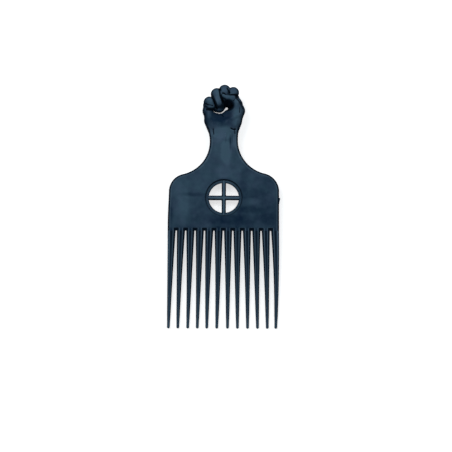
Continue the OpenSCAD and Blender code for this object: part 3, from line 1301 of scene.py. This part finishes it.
@dataclass
class Hand:
    """The raised fist with its wrist and the neck that runs down to the flat plate.

    Joints are across, up from the wrist crease, out of the mid plane, and a radius.
    """

    layout: Layout
    hollow_r: float = 23.2
    neck_w: float = 19.1
    neck_y: float = 44.45
    neck_t: float = 9.2
    wrist_w: float = 22.0
    wrist_t: float = 10.6
    wing_t: float = 8.6
    rim_r: float = 1.3
    wrist_rim_r: float = 4.0
    wrist_shift: float = -0.35
    back_z: float = -6.95
    front_z: float = 6.93
    step: float = 0.22
    quick_step: float = 0.36
    block: int = 4
    draws: int = 3
    draw_gap: float = 0.04
    draw_least: float = 0.15
    normal_gap: float = 0.08
    bend_gap: float = 0.45
    margin: float = 1.0
    joint_margin: float = 1.2
    reach_y: float = 30.4
    reach_z: float = 7.6
    neck_past: float = 4.0
    rim_growth: float = 1.3
    fillets: Fillets = Fillets()
    steep_span: Span = (0.20, 0.50)
    fist_span: Span = (-1.0, 2.0)
    hidden_span: Span = (-0.2, 1.3)
    lip_span: Span = (0.4, 2.6)
    rim_span: Span = (0.9, 1.25)
    line_spans: tuple[Span, Span] = ((1.1, 1.4), (1.7, 2.4))
    flank_span: Span = (0.08, 0.42)
    thumb_side_spans: tuple[Span, Span] = ((7.0, 9.5), (13.0, 17.0))
    thumb_side_relief: float = 0.5
    # Painted shade on the fist's flanks, in folds and round the slit; painted highlight in a line
    # inside the neck's rim and, with wear, on ridges.
    flank_shade: float = 0.8
    fold_shade: float = 1.2
    lip_shade: float = 0.6
    line_highlight: float = 0.6
    ridge_wear_and_highlight: float = 0.9
    ridge_from: float = 0.42
    thumb: tuple[Joint, ...] = (
        (7.1, 8.0, 0.7, 4.50),
        (9.6, 11.7, 1.1, 3.95),
        (8.7, 16.7, 3.2, 3.15),
        (6.0, 19.2, 4.4, 2.50),
        (2.6, 20.1, 4.65, 2.15),
        (-0.2, 21.2, 4.6, 1.80),
    )
    index: tuple[Joint, ...] = (
        (5.8, 22.0, -3.3, 3.69),
        (6.35, 23.85, 1.82, 3.70),
        (4.8, 19.7, 1.2, 2.99),
        (4.4, 17.1, -1.5, 2.59),
    )
    middle: tuple[Joint, ...] = (
        (0.2, 22.9, -3.3, 3.69),
        (0.45, 25.11, 2.0, 3.90),
        (0.9, 20.6, 1.4, 3.10),
        (1.0, 17.6, -1.5, 2.59),
    )
    ring: tuple[Joint, ...] = (
        (-5.2, 20.3, -3.3, 3.69),
        (-4.75, 22.5, 2.6, 4.05),
        (-3.5, 16.3, 3.6, 2.95),
        (-2.9, 13.9, 1.4, 2.55),
    )
    little: tuple[Joint, ...] = (
        (-10.3, 15.5, -3.2, 3.60),
        (-9.85, 17.00, 2.35, 3.75),
        (-8.8, 14.3, 2.9, 3.05),
        (-7.0, 13.4, 0.6, 2.50),
    )
    palm: tuple[tuple[Joint, ...], ...] = (
        (
            (5.7, 2.4, 0.3, 4.4),
            (8.3, 8.2, 0.5, 4.4),
            (9.2, 11.6, -0.6, 4.45),
            (8.8, 16.5, -2.4, 3.75),
            (6.6, 21.5, -3.3, 3.5),
        ),
        (
            (-6.7, 2.4, 0.3, 4.5),
            (-8.45, 6.2, 0.5, 4.5),
            (-9.9, 11.6, -0.5, 4.4),
            (-10.0, 16.0, -2.9, 3.85),
            (-5.3, 20.1, -3.3, 3.5),
        ),
        ((-3.0, 2.0, 0.0, 5.0), (-4.0, 11.0, -1.4, 4.6), (-4.4, 18.5, -3.1, 3.7)),
        ((3.0, 2.0, 0.0, 5.0), (3.6, 11.0, -1.6, 4.5), (3.2, 20.0, -3.2, 3.6)),
    )
    cave: tuple[Place, Place] = ((3.0, 14.9, 3.4), (3.6, 3.7, 6.1))
    slit_slant: float = 0.125
    slit: tuple[Place, ...] = (
        (-7.2, 11.2, 0.26),
        (-5.2, 10.5, 0.38),
        (-3.2, 10.1, 0.46),
        (-1.6, 10.3, 0.44),
        (-0.2, 11.3, 0.38),
        (0.9, 12.6, 0.45),
        (1.8, 13.5, 0.86),
    )
    marks: tuple[Mark, ...] = (
        Mark(((-8.3, 21.3), (-7.0, 18.5), (-6.0, 16.5), (-5.0, 14.0), (-4.6, 12.6)), 0.55, 0.9),
        Mark(
            ((-2.9, 25.4), (-2.6, 22.5), (-2.0, 20.0), (-1.0, 17.8), (-0.4, 15.5), (-0.7, 13.5)),
            0.6,
            1.0,
        ),
        Mark(((2.3, 26.1), (3.3, 24.4), (3.6, 23.1)), 0.5, 0.7),
        Mark(((-0.6, 22.6), (0.5, 22.2), (1.5, 21.6), (4.5, 21.5), (8.3, 21.6)), 0.45, 0.7),
        Mark(((8.2, 21.4), (8.4, 19.7), (10.0, 17.8), (12.0, 15.0), (12.9, 12.9)), 0.7, 0.7),
        Mark(((-12.2, 15.4), (-11.3, 14.8), (-9.5, 14.4), (-7.6, 14.1)), 0.5, 0.5),
        Mark(((-11.5, 11.8), (-9.0, 11.5), (-6.5, 11.5), (-5.0, 11.4)), 0.6, 1.1),
        Mark(((-12.9, 8.9), (-12.8, 7.0)), 0.4, 0.4),
        Mark(((7.2, 18.0), (6.5, 17.4)), 0.35, 0.3),
        Mark(((8.3, 19.3), (7.5, 18.7)), 0.35, 0.3),
        Mark(((10.8, 12.9), (10.6, 9.7)), 0.4, 0.35),
        Mark(((-4.6, 8.3), (-3.4, 8.0)), 0.4, 0.25),
        Mark(((-1.2, 7.9), (-0.4, 7.3)), 0.45, 0.3),
        Mark(((4.9, -1.3), (6.3, -2.0), (7.7, -1.8)), 0.5, 0.6),
        Mark(((7.3, -2.4), (7.5, -4.4)), 0.45, 0.4),
        Mark(((-7.1, -2.0), (-6.8, -5.0)), 0.5, 0.5),
        Mark(((1.1, -5.0), (0.9, -10.0)), 0.6, -0.16),
        Mark(((4.6, -5.0), (4.8, -10.0)), 0.6, -0.14),
        Mark(((6.8, -5.0), (6.6, -9.0)), 0.5, -0.12),
        Mark(((3.2, 4.4), (6.0, 5.9), (9.2, 7.6)), 1.3, -0.35),
        Mark(((8.7, 4.2), (8.4, 0.8)), 1.0, -0.25),
        Mark(((-7.4, 3.2), (-7.3, 0.0)), 1.2, -0.3),
    )
    finish: MouldedPlastic = MouldedPlastic("hand_plastic", Streak.CLOUDY)

    def _lift(self, joints: Sequence[Joint]) -> list[Joint]:
        """Joints with their second place counted from the frame's middle."""
        return [(x, y + self.layout.crease_y, z, r) for x, y, z, r in joints]

    def _side(self, x: Array, y: Array) -> tuple[Array, Array]:
        """Works out where places lie in the neck's outline.

        Args:
            x: Places across.
            y: Places up.

        Returns:
            The flat distances to the outline, and the shares of the way out to it.
        """
        lay = self.layout
        wrist_l = lay.crease_y - self.neck_y
        hollow_x = self.neck_w / 2 + self.hollow_r
        wide = np.abs(x - self.wrist_shift * ease(y, self.neck_y, lay.crease_y))
        above = np.maximum(y - self.neck_y, 0.0) / wrist_l
        below = np.minimum(y - self.neck_y, 0.0)
        arc = self.hollow_r - np.hypot(wide - hollow_x, below)
        half = self.neck_w / 2 + (self.wrist_w - self.neck_w) / 2 * above**2
        side = np.where(y < self.neck_y, arc, wide - half) + lay.left_in(y) * (x < 0)
        low_half = hollow_x - np.sqrt(self.hollow_r**2 - below**2)
        return side, np.clip(wide / np.where(y < self.neck_y, low_half, half), 0.0, 1.0)

    def _neck(self, x: Array, y: Array, z: Array) -> Array:
        """Distance to the neck and wrist, which start as flat and rimmed as the plate.

        Args:
            x: Places across.
            y: Places up.
            z: Places out of the mid plane.

        Returns:
            The distances, below zero inside.
        """
        lay = self.layout
        side, share = self._side(x, y)
        rise = np.clip((y - lay.web_y) / (lay.crease_y - lay.web_y), 0.0, 1.0)
        wing = (lay.plate_t + (self.wing_t - lay.plate_t) * rise**2) / 2
        middle = lay.plate_t + (self.neck_t - lay.plate_t) * ease(y, lay.web_y, self.neck_y)
        middle = (middle + (self.wrist_t - self.neck_t) * ease(y, self.neck_y, lay.crease_y)) / 2
        top = np.abs(z) - wing - (middle - wing) * np.cos(share * math.pi / 2) ** 2
        rim = self.rim_r + (self.wrist_rim_r - self.rim_r) * rise**self.rim_growth
        over = np.hypot(np.maximum(side + rim, 0.0), np.maximum(top + rim, 0.0))
        return np.minimum(np.maximum(side + rim, top + rim), 0.0) + over - rim

    def _cave(self, x: Array, y: Array, z: Array) -> Array:
        """Rough distance to the hollow under the thumb.

        Args:
            x: Places across.
            y: Places up.
            z: Places out of the mid plane.

        Returns:
            The distances, below zero inside.
        """
        (cx, cy, cz), (rx, ry, rz) = self.cave
        up = self.layout.crease_y + cy
        share = np.sqrt(((x - cx) / rx) ** 2 + ((y - up) / ry) ** 2 + ((z - cz) / rz) ** 2)
        return (share - 1.0) * min(rx, ry)

    def _slit(self, x: Array, y: Array, z: Array) -> Array:
        """Distance to the slit that goes right through below the fingertips, a little aslant.

        Args:
            x: Places across.
            y: Places up.
            z: Places out of the mid plane.

        Returns:
            The distances, below zero inside.
        """
        crease = self.layout.crease_y
        spots = [(sx, sy + crease, 0.0, r) for sx, sy, r in self.slit]
        return chain_distance(x, y + z * self.slit_slant, 0.0, spots, self.fillets.slit_line)

    def distance(self, x: Array, y: Array, z: Array) -> Array:
        """Distance to the whole hand.

        Args:
            x: Places across.
            y: Places up.
            z: Places out of the mid plane.

        Returns:
            The distances, below zero inside.
        """
        at, crease, reach = (x, y, z), self.layout.crease_y, self.fillets
        neck = soft_max(self._neck(*at), y - crease - self.neck_past, reach.neck)
        thumb = self._lift(self.thumb)
        palm = chain_distance(*at, thumb[:3], reach.strand)
        for strand in self.palm:
            palm = soft_min(palm, chain_distance(*at, self._lift(strand), reach.strand), reach.palm)
        palm = soft_max(palm, -self._cave(*at), reach.cave)
        fingers = chain_distance(*at, self._lift(self.little), reach.finger)
        for joints in (self.ring, self.middle, self.index):
            finger = chain_distance(*at, self._lift(joints), reach.finger)
            fingers = soft_min(fingers, finger, reach.fold)
        hand = soft_min(palm, fingers, reach.fist)
        hand = soft_min(hand, chain_distance(*at, thumb[2:], reach.thumb), reach.fold)
        hand = soft_min(hand, neck, reach.neck)
        for mark in self.marks:
            hand = hand + mark.change(*at, crease)
        hand = soft_max(hand, -self._slit(*at), reach.slit)
        hand = soft_max(hand, self.back_z - z, reach.back)
        return soft_max(hand, z - self.front_z, reach.front)

    def gradient(self, points: Array, gap: float) -> Array:
        """Works out the slope of the distance at some points.

        Args:
            points: The points, one to a line.
            gap: How far before and past each point the distance is taken.

        Returns:
            The slopes, one to a line.
        """
        slopes = []
        for axis in range(3):
            shift = np.zeros(3)
            shift[axis] = gap
            ahead, behind = points + shift, points - shift
            slopes.append(self.distance(*ahead.T) - self.distance(*behind.T))
        return np.column_stack(slopes) / (2 * gap)

    def _surface(self) -> tuple[Array, Array]:
        """Wraps the whole hand and draws the points onto the zero of the distance.

        Returns:
            The points, one to a line, and the quads.
        """
        lay = self.layout
        step = self.step
        fall = self.neck_y - lay.web_y + self.joint_margin
        wide = self.neck_w / 2 + self.hollow_r - math.sqrt(self.hollow_r**2 - fall**2) + self.margin
        low = np.array((-wide, lay.web_y - self.joint_margin, -self.reach_z))
        high = np.array((wide, lay.crease_y + self.reach_y, self.reach_z))
        points, quads = surface_net(self._grid(low, high, step))
        points = points * step + low
        for _ in range(self.draws):
            value = self.distance(*points.T)
            slope = self.gradient(points, self.draw_gap)
            move = value / np.maximum((slope**2).sum(1), self.draw_least)
            points = points - np.clip(move, -step, step)[:, None] * slope
        return points, quads

    def _grid(self, low: Array, high: Array, step: float) -> Array:
        """Distances on a grid, worked out one by one only in blocks that the surface may cross.

        Args:
            low: Lowest corner of the grid.
            high: Highest corner, which the grid just passes.
            step: Width of its cells.

        Returns:
            The distances, which away from the surface are those of the block's middle.
        """
        size = self.block
        counts = np.ceil((high - low) / (step * size)).astype(int)
        x, y, z = (a + (np.arange(n) + 0.5) * size * step for a, n in zip(low, counts))
        coarse = self.distance(x[:, None, None], y[None, :, None], z[None, None, :])
        near = np.abs(coarse) < size * step * 2.0
        for axis in range(3):
            coarse, near = np.repeat(coarse, size, axis), np.repeat(near, size, axis)
        spots = np.argwhere(near)
        coarse[near] = self.distance(*(spots * step + low).T)
        return coarse

    def build(self) -> None:
        """Builds the fist above the wrist crease, and the wrist and neck below it."""
        points, quads = self._surface()
        lay, dress = self.layout, self.finish.material()
        fingers = ("index_finger", "middle_finger", "ring_finger", "little_finger")
        fist = self._slice(points, quads, lay.crease_y, None)
        settle(fist.make("fist_form", lay, dress), "palm", "thumb", *fingers)
        neck = self._slice(points, quads, lay.web_y, lay.crease_y)
        settle(neck.make("neck_form", lay, dress), "wrist")

    def _slice(self, points: Array, quads: Array, start: float, end: float | None) -> Shell:
        """Cuts the surface at joint faces.

        Args:
            points: All points.
            quads: All quads.
            start: Place of the lower joint face.
            end: Place of the upper joint face, or None for the open end of the fist.

        Returns:
            The part between them, closed.
        """
        mesh = bpy.data.meshes.new("hand_surface")
        mesh.from_pydata(points.tolist(), [], quads.tolist())
        work = bmesh.new()
        work.from_mesh(mesh)
        bpy.data.meshes.remove(mesh)
        for place, sign in ((start, -1.0), (end, 1.0)):
            if place is None:
                continue
            parts = work.verts[:] + work.edges[:] + work.faces[:]
            cut = {"plane_co": (0, place, 0), "plane_no": (0, sign, 0), "clear_outer": True}
            bmesh.ops.bisect_plane(work, geom=parts, dist=1e-5, **cut)
        outside = set(work.faces)
        open_edges = [e for e in work.edges if e.is_boundary]
        bmesh.ops.holes_fill(work, edges=open_edges, sides=0)
        work.verts.index_update()
        shell = Shell(steep_span=self.steep_span)
        kept = np.array([v.co[:] for v in work.verts])
        slope = self.gradient(kept, self.normal_gap)
        shell.normals = slope / np.maximum(np.linalg.norm(slope, axis=1, keepdims=True), 1e-9)
        shell.add(kept, *self._state(kept, shell.normals))
        for face in work.faces:
            row = tuple(v.index for v in face.verts)
            (shell.faces if face in outside else shell.seams).append(row)
        work.free()
        return shell

    def _state(self, points: Array, normals: Array) -> tuple[Array, Array]:
        """How worn and highlit, and how much painted shade, the surface gets at some points.

        Args:
            points: The points, one to a line.
            normals: Their normals.

        Returns:
            The wear with painted highlight, and the painted shade, of each point, from 0 to 1.
        """
        across, up = points[:, 0], points[:, 1] - self.layout.crease_y
        bend = self._bend(points)
        fist = ease(up, *self.fist_span)
        # Painted shade in the cave under the thumb, round the slit, on the neck's outer rim, on the
        # fist's steep flanks and in folds; painted highlight on ridges and in a line inside the neck's
        # rim.
        hidden = 1.0 - ease(self._cave(*points.T), *self.hidden_span)
        lip = 1.0 - ease(self._slit(*points.T), *self.lip_span)
        inward = -self._side(points[:, 0], points[:, 1])[0]
        rim = (1.0 - ease(inward, *self.rim_span)) * (1.0 - fist)
        (outer, inner), (side, top) = self.line_spans, self.thumb_side_spans
        line = ease(inward, *outer) * (1.0 - ease(inward, *inner)) * (1.0 - fist)
        thumb_side = ease(across, *side) * (1.0 - ease(up, *top))
        flank = ease(1.0 - np.abs(normals[:, 2]), *self.flank_span) * fist * self.flank_shade
        flank = flank * (1.0 - self.thumb_side_relief * thumb_side)
        fold = np.clip(-bend * self.fold_shade, 0, 1)
        ridge = np.clip(bend - self.ridge_from, 0, 1) * self.ridge_wear_and_highlight * (1.0 - lip)
        shade = np.maximum.reduce([fold, hidden, lip * self.lip_shade, rim, flank])
        return np.maximum(ridge, line * self.line_highlight), shade

    def _bend(self, points: Array) -> Array:
        """Works out how the surface bends at some points, as half the distance's Laplacian.

        Args:
            points: The points, one to a line.

        Returns:
            The bends, above zero on ridges and below it in folds.
        """
        gap, total = self.bend_gap, -6.0 * self.distance(*points.T)
        for axis in range(3):
            for sign in (-gap, gap):
                shift = np.zeros(3)
                shift[axis] = sign
                total = total + self.distance(*(points + shift).T)
        return total / gap**2 * 0.5


def surface_net(values: Array) -> tuple[Array, Array]:
    """Wraps the zero surface of a grid of distances in quads.

    Args:
        values: Distances on the grid, below zero inside.

    Returns:
        The points in steps of the grid, and the quads with their outsides counter-clockwise.
    """
    inside = values < 0
    corners = [(i, j, k) for i in (0, 1) for j in (0, 1) for k in (0, 1)]
    nx, ny, nz = (n - 1 for n in values.shape)
    total = sum(inside[i : i + nx, j : j + ny, k : k + nz].astype(np.uint8) for i, j, k in corners)
    active = (total > 0) & (total < 8)
    number = np.full(active.shape, -1, np.int64)
    number[active] = np.arange(active.sum())
    base = np.argwhere(active)
    held = {c: values[base[:, 0] + c[0], base[:, 1] + c[1], base[:, 2] + c[2]] for c in corners}
    place, crossings = np.zeros((len(base), 3)), np.zeros(len(base))
    for axis in range(3):
        for first in (c for c in corners if c[axis] == 0):
            second = tuple(1 if a == axis else c for a, c in enumerate(first))
            a, b = held[first], held[second]
            cut = (a < 0) != (b < 0)
            share = np.where(cut, a / np.where(cut, a - b, 1.0), 0.0)
            spot = np.array(first, float) + share[:, None] * np.eye(3)[axis]
            place += spot * cut[:, None]
            crossings += cut
    points = base + place / crossings[:, None]
    quads = []
    for axis in range(3):
        u, v = (axis + 1) % 3, (axis + 2) % 3
        first = np.take(inside, range(inside.shape[axis] - 1), axis)
        second = np.take(inside, range(1, inside.shape[axis]), axis)
        cut = np.argwhere(first != second)
        shape = number.shape
        cut = cut[(cut[:, u] > 0) & (cut[:, v] > 0) & (cut[:, u] < shape[u]) & (cut[:, v] < shape[v])]
        out = first[tuple(cut.T)]
        ring = []
        for du, dv in ((1, 1), (0, 1), (0, 0), (1, 0)):
            cell = cut.copy()
            cell[:, u] -= du
            cell[:, v] -= dv
            ring.append(number[tuple(cell.T)])
        square = np.column_stack(ring)
        quads.append(np.where(out[:, None], square, square[:, ::-1]))
    return points, np.concatenate(quads)


# The studio.


@dataclass(frozen=True)
class SoftLight:
    """A large square light that looks at the pick.

    Its bearing runs counter-clockwise from +X and its height up from the floor, both in
    degrees, and its share is how bright it alone would make a white floor.
    """

    name: str
    bearing: float
    height: float
    share: float
    distance: float = 900.0
    size: float = 600.0
    colour: Colour = (0.90, 0.96, 1.00)

    def build(self) -> None:
        """Puts the light in the scene."""
        lamp = bpy.data.lights.new(self.name, "AREA")
        lamp.shape = "SQUARE"
        lamp.size = self.size * MM
        lamp.color = self.colour
        turn, lift = math.radians(self.bearing), math.radians(self.height)
        way = Vector((math.cos(lift) * math.cos(turn), math.cos(lift) * math.sin(turn), math.sin(lift)))
        lamp.energy = self.share * math.pi**2 * (self.distance * MM) ** 2 / way.z
        stand = bpy.data.objects.new(self.name, lamp)
        stand.location = way * self.distance * MM
        stand.rotation_euler = (-way).to_track_quat("-Z", "Y").to_euler()
        bpy.context.scene.collection.objects.link(stand)


@dataclass
class Studio:
    """Pale floor, soft lights and the camera."""

    layout: Layout
    aim: Place = (1.75, -13.75, 0.0)
    elevation: float = 83.0
    roll: float = 0.25
    distance: float = 1000.0
    view_angle: float = 17.22
    world_colour: Colour = (0.93, 0.96, 1.0)
    world_strength: float = 0.26
    lights: tuple[SoftLight, ...] = (
        SoftLight("key_light", 140.0, 43.0, 0.36),
        SoftLight("fill_light", 40.0, 43.0, 0.24),
    )
    floor_colour: float = 0.25
    floor_seen: float = 2.05
    floor_glow: float = 0.60
    floor_half: float = 1500.0
    floor_gap: float = 0.02
    tip_l: float = 3.0
    sensor_w: float = 36.0
    clip: Span = (0.01, 20.0)

    def _rest_slope(self) -> tuple[float, float]:
        """Line of the floor, on which the back of the fist and the tines' tips rest.

        Returns:
            The floor's height at the tips, and how much it falls for each unit towards the fist.
        """
        corners = []
        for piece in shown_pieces():
            flat = np.empty(len(piece.data.vertices) * 3, np.float32)
            piece.data.vertices.foreach_get("co", flat)
            corners.append(flat.reshape(-1, 3))
        points = np.concatenate(corners).astype(float)
        tips = points[points[:, 1] < points[:, 1].min() + self.tip_l * MM]
        foot = tips[tips[:, 2].argmin()]
        fist = points[points[:, 1] > 0]
        fall = ((foot[2] - fist[:, 2]) / (fist[:, 1] - foot[1])).max()
        return foot[2] + fall * foot[1], fall

    def build_floor(self) -> None:
        """Lays the floor under the pick as it rests on its fist and its tips."""
        height, fall = self._rest_slope()
        half = self.floor_half * MM
        spots = ((-half, -half), (half, -half), (half, half), (-half, half))
        corners = [(x, y, height - fall * y - self.floor_gap * MM) for x, y in spots]
        mesh = bpy.data.meshes.new("floor")
        mesh.from_pydata(corners, [], [(0, 1, 2, 3)])
        material = bpy.data.materials.new("pale_floor")
        tree = Tree(material)
        shown = tree.shown()
        greys = (opaque((level,) * 3) for level in (self.floor_colour, self.floor_seen))
        matt = tree.value("BsdfDiffuse", "BSDF", None, {"Color": tree.mix(shown, *greys)})
        white = tree.value("Emission", "Emission", None, {"Color": WHITE, "Strength": 1.0})
        sockets = {"Fac": shown * self.floor_glow, "Shader": matt, "Shader_001": white}
        tree.node("OutputMaterial", None, {"Surface": tree.value("MixShader", "Shader", None, sockets)})
        mesh.materials.append(material)
        floor = bpy.data.objects.new("floor", mesh)
        bpy.context.scene.collection.objects.link(floor)
        floor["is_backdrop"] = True

    def build_world(self) -> None:
        """Sets a plain pale surround that shows as white."""
        world = bpy.data.worlds.new("studio")
        bpy.context.scene.world = world
        tree = Tree(world)
        pale = {"Color": opaque(self.world_colour), "Strength": self.world_strength}
        lit = tree.value("Background", "Background", None, pale)
        white = tree.value("Background", "Background", None, {"Color": WHITE, "Strength": 1.0})
        sockets = {"Fac": tree.shown(), "Shader": lit, "Shader_001": white}
        tree.node("OutputWorld", None, {"Surface": tree.value("MixShader", "Shader", None, sockets)})

    def build_camera(self) -> None:
        """Puts the camera over the tines' side, at the photograph's angle."""
        lens = bpy.data.cameras.new("camera")
        lens.sensor_width = self.sensor_w
        lens.lens = lens.sensor_width / 2 / math.tan(math.radians(self.view_angle / 2))
        lens.clip_start, lens.clip_end = self.clip
        camera = bpy.data.objects.new("camera", lens)
        tilt = math.radians(self.elevation)
        back = Vector((0.0, -math.cos(tilt), math.sin(tilt)))
        aim = Vector((self.aim[0], self.aim[1], self.aim[2] + self.layout.mid_z)) * MM
        camera.location = aim + back * self.distance * MM
        turned = (-back).to_track_quat("-Z", "Y") @ Quaternion((0.0, 0.0, 1.0), math.radians(self.roll))
        camera.rotation_euler = turned.to_euler()
        bpy.context.scene.collection.objects.link(camera)
        bpy.context.scene.camera = camera

    def build(self) -> None:
        """Builds the floor, the surround, the lights and the camera."""
        self.build_floor()
        self.build_world()
        for light in self.lights:
            light.build()
        self.build_camera()
        bpy.context.scene.view_settings.view_transform = "Standard"


def main() -> None:
    """Builds the pick on its frame, then the studio."""
    logging.basicConfig(level=logging.INFO, format="%(name)s: %(message)s")
    layout = Layout.from_frame()
    LOG.info("plate %.1f mm wide, tips at %.1f mm", layout.plate_w, layout.tip_y)
    Comb(layout).build()
    Window(layout).build()
    GateTail(layout).build()
    Hand(layout).build()
    Studio(layout).build()


if __name__ == "__main__":
    main()
